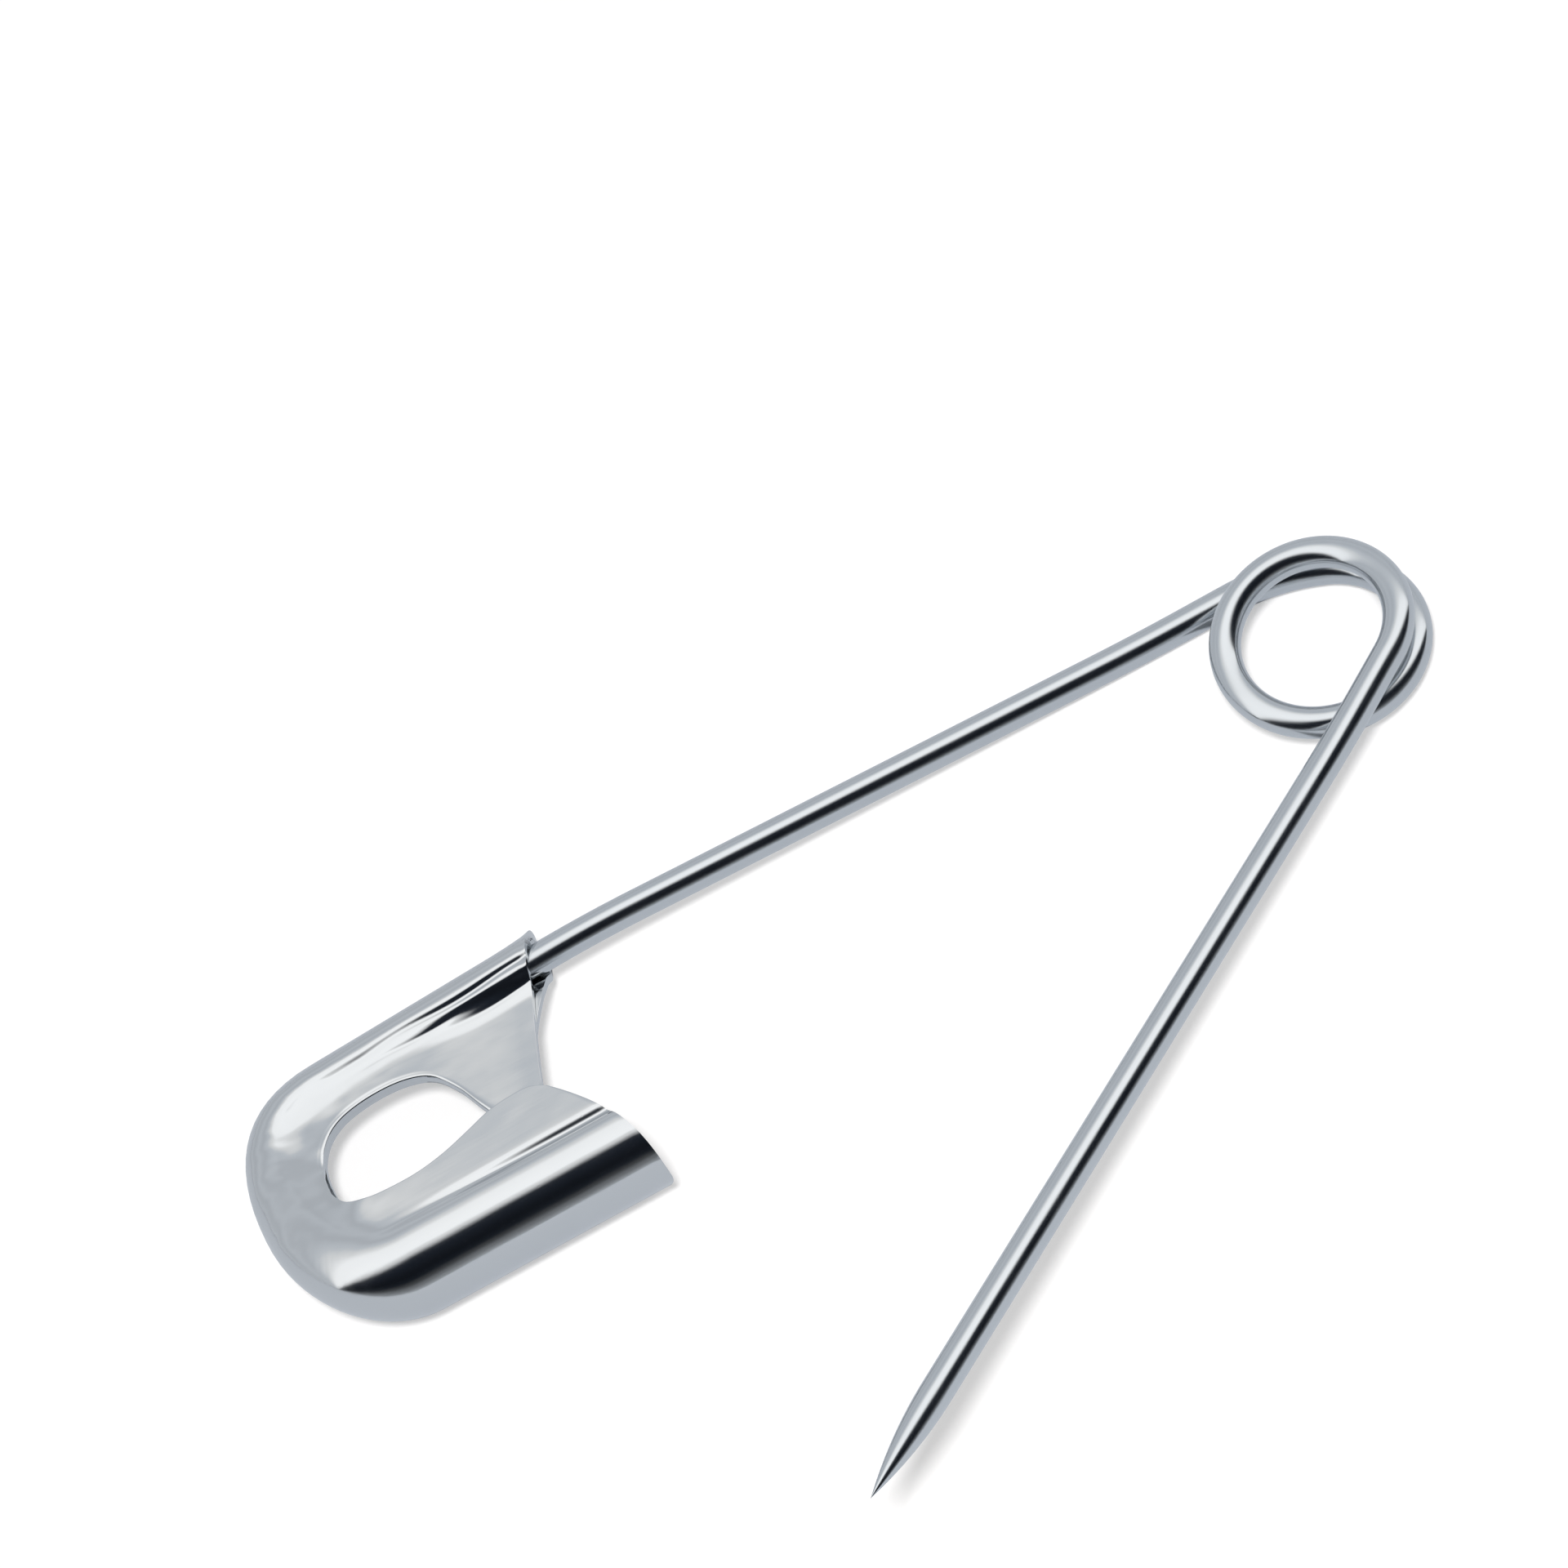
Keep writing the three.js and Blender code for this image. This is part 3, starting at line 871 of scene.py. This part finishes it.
def forming_waves(tree, place, fine_height):
    """Adds the soft waves that the press leaves where it stretches the sheet most."""
    waves_per_metre = 480.0
    wave_stretch = (0.7, 1, 1)
    wave_strength = 110.0  # against the height of the plating marks
    turned_place = put(
        tree, "ShaderNodeMapping",
        {"Vector": place, "Rotation": (0, 0, -cap_turn), "Scale": wave_stretch},
    )
    noise = put(
        tree, "ShaderNodeTexNoise",
        {
            "Vector": turned_place.outputs[0],
            "Scale": waves_per_metre,
            "Detail": 2.0,
            "Roughness": 0.4,
        },
    )
    formed = put(tree, "ShaderNodeAttribute", attribute_name="formed")
    wave = put(
        tree, "ShaderNodeMath",
        {0: noise.outputs["Fac"], 1: formed.outputs["Fac"]},
        operation="MULTIPLY",
    )
    both = put(
        tree, "ShaderNodeMath",
        {0: wave.outputs[0], 1: wave_strength, 2: fine_height},
        operation="MULTIPLY_ADD",
    )
    return both.outputs[0]


sheet_metal = plated_metal(
    "nickel_plated_sheet",
    None,
    {
        "Line stretch": (180, 2600, 2600),
        "Clouds per metre": 260,
        "Shade": (0.655, 0.675, 0.69, 1),
        "Shade between": (0.70, 0.715, 0.725, 1),
        "Roughness low": 0.09,
        "Roughness high": 0.17,
    },
    bump_height=0.0000016,
    waves=forming_waves,
)
cap.data.materials.append(sheet_metal)
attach(cap, "root")
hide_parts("cap")

# The table: a white sheet of card, far larger than the pin, which takes its soft shadow. It gives
# the metal a slightly bluer light than the camera sees on it.
floor_size = 1.2
card_color_lighting = (0.59, 0.62, 0.665, 1)
card_color_seen = (0.63, 0.62, 0.615, 1)
floor_mesh = bpy.data.meshes.new("table_card")
half = floor_size / 2
floor_mesh.from_pydata(
    [(-half, -half, 0), (half, -half, 0), (half, half, 0), (-half, half, 0)], [], [(0, 1, 2, 3)]
)
floor = bpy.data.objects.new("table_card", floor_mesh)
bpy.context.scene.collection.objects.link(floor)
card = bpy.data.materials.new("white_card")
card.use_nodes = True
card_tree = card.node_tree
card_surface = card_tree.nodes["Principled BSDF"]
card_surface.inputs["Roughness"].default_value = 0.9
card_surface.inputs["Specular IOR Level"].default_value = 0.1
card_path = put(card_tree, "ShaderNodeLightPath")
card_shade = put(
    card_tree, "ShaderNodeMix",
    {
        "Factor": card_path.outputs["Is Camera Ray"],
        6: card_color_lighting,
        7: card_color_seen,
    },
    data_type="RGBA",
)
card_tree.links.new(card_shade.outputs[2], card_surface.inputs["Base Color"])
card_surface.inputs["Emission Color"].default_value = (1, 1, 1, 1)
card_place = put(card_tree, "ShaderNodeTexCoord").outputs["Object"]
card_reach = put(card_tree, "ShaderNodeVectorMath", {0: card_place}, operation="LENGTH")
# Far from the pin the card runs out into the white background.
card_glow = put(
    card_tree, "ShaderNodeMapRange",
    {
        "Value": card_reach.outputs["Value"],
        "From Min": 0.06,
        "From Max": 0.25,
        "To Min": 0.43,
        "To Max": 1.0,
    },
)
card_lift = put(
    card_tree, "ShaderNodeMath",
    {0: card_path.outputs["Is Camera Ray"], 1: card_glow.outputs["Result"]},
    operation="MULTIPLY",
)
card_tree.links.new(card_lift.outputs[0], card_surface.inputs["Emission Strength"])
floor_mesh.materials.append(card)

# The studio: one soft lamp above the camera's side, so that each shadow lies close to its metal,
# and a pale room for the metal to mirror: bright overhead, grey behind and dark low in front.
studio = bpy.data.worlds.new("studio")
bpy.context.scene.world = studio
studio.use_nodes = True
room = studio.node_tree
room.nodes.clear()
way = put(room, "ShaderNodeTexCoord").outputs["Generated"]
front_way = (-0.18, 0.984, 0.0)
upness = put(room, "ShaderNodeSeparateXYZ", {"Vector": way})
frontness = put(
    room, "ShaderNodeVectorMath", {0: way, 1: front_way}, operation="DOT_PRODUCT"
)
swing_angle = put(
    room, "ShaderNodeMath",
    {0: frontness.outputs["Value"], 1: upness.outputs["Z"]},
    operation="ARCTAN2",
)
swing_share = put(
    room, "ShaderNodeMapRange",
    {"Value": swing_angle.outputs[0], "From Min": -math.pi / 2, "From Max": math.pi / 2},
)
ramp = put(room, "ShaderNodeValToRGB", {"Fac": swing_share.outputs["Result"]})
grey_tint = (0.955, 1.0, 1.06)
white_tint = (1.0, 1.0, 1.0)
dark_tint = (0.75, 1.0, 1.5)
room_stops = [
    (0.0, 0.64, grey_tint),
    (0.10, 0.57, grey_tint),
    (0.18, 0.65, grey_tint),
    (0.25, 0.585, grey_tint),
    (0.305, 0.69, grey_tint),
    (0.335, 0.88, white_tint),
    (0.385, 1.22, white_tint),
    (0.53, 1.27, white_tint),
    (0.555, 0.9, white_tint),
    (0.62, 0.018, dark_tint),
    (0.78, 0.008, dark_tint),
    (0.84, 0.012, dark_tint),
    (0.89, 0.06, grey_tint),
    (0.94, 0.19, grey_tint),
    (1.0, 0.37, grey_tint),
]
ramp.color_ramp.interpolation = "EASE"
while len(ramp.color_ramp.elements) < len(room_stops):
    ramp.color_ramp.elements.new(0.5)
brightest = 1.3
for element, (position, level, tint) in zip(ramp.color_ramp.elements, room_stops):
    element.position = position
    element.color = (*(level / brightest * part for part in tint), 1)
mirrored = put(
    room, "ShaderNodeBackground", {"Color": ramp.outputs["Color"], "Strength": brightest}
)
plain_light = 0.3
plain = put(room, "ShaderNodeBackground", {"Color": (1, 1, 1, 1), "Strength": plain_light})
white = put(room, "ShaderNodeBackground", {"Color": (1, 1, 1, 1), "Strength": 1.0})
rays = put(room, "ShaderNodeLightPath")
lit = put(
    room, "ShaderNodeMixShader",
    {0: rays.outputs["Is Glossy Ray"], 1: plain.outputs[0], 2: mirrored.outputs[0]},
)
seen = put(
    room, "ShaderNodeMixShader",
    {0: rays.outputs["Is Camera Ray"], 1: lit.outputs[0], 2: white.outputs[0]},
)
put(room, "ShaderNodeOutputWorld", {"Surface": seen.outputs[0]})

lamp_data = bpy.data.lights.new("soft_lamp", "AREA")
lamp_data.shape = "DISK"
lamp_data.size = 0.08
lamp_data.energy = 1.65
lamp = bpy.data.objects.new("soft_lamp", lamp_data)
bpy.context.scene.collection.objects.link(lamp)
lamp.location = Vector((0.007, 0.174, 0.415))
lamp.rotation_mode = "QUATERNION"
lamp.rotation_quaternion = (-lamp.location).to_track_quat("-Z", "Y")
lamp.visible_glossy = False

# The camera: a long lens close above the table, looking down on the pin from the side to which the
# pin arm opens, and turned so that the fixed arm rises to the right.
camera_target = Vector((-0.000344, -0.017506, 0))
camera_distance = 0.264
camera_azimuth = math.radians(181.348)
camera_elevation = math.radians(55.353)
camera_roll = math.radians(-30.019)
focal_pixels = 8208.5
image_pixels = 1920
camera_back = Vector((
    math.sin(camera_azimuth) * math.cos(camera_elevation),
    -math.cos(camera_azimuth) * math.cos(camera_elevation),
    math.sin(camera_elevation),
))
camera_data = bpy.data.cameras.new("camera")
camera_data.sensor_width = 36
camera_data.sensor_fit = "HORIZONTAL"
camera_data.lens = camera_data.sensor_width * focal_pixels / image_pixels
camera_data.clip_start = 0.01
camera_data.clip_end = 5
camera = bpy.data.objects.new("camera", camera_data)
bpy.context.scene.collection.objects.link(camera)
camera.location = camera_target + camera_back * camera_distance
level_turn = (-camera_back).to_track_quat("-Z", "Y").to_matrix().to_4x4()
camera.matrix_world = (
    Matrix.Translation(camera.location) @ level_turn @ Matrix.Rotation(camera_roll, 4, "Z")
)
bpy.context.scene.camera = camera
bpy.context.scene.view_settings.view_transform = "Standard"
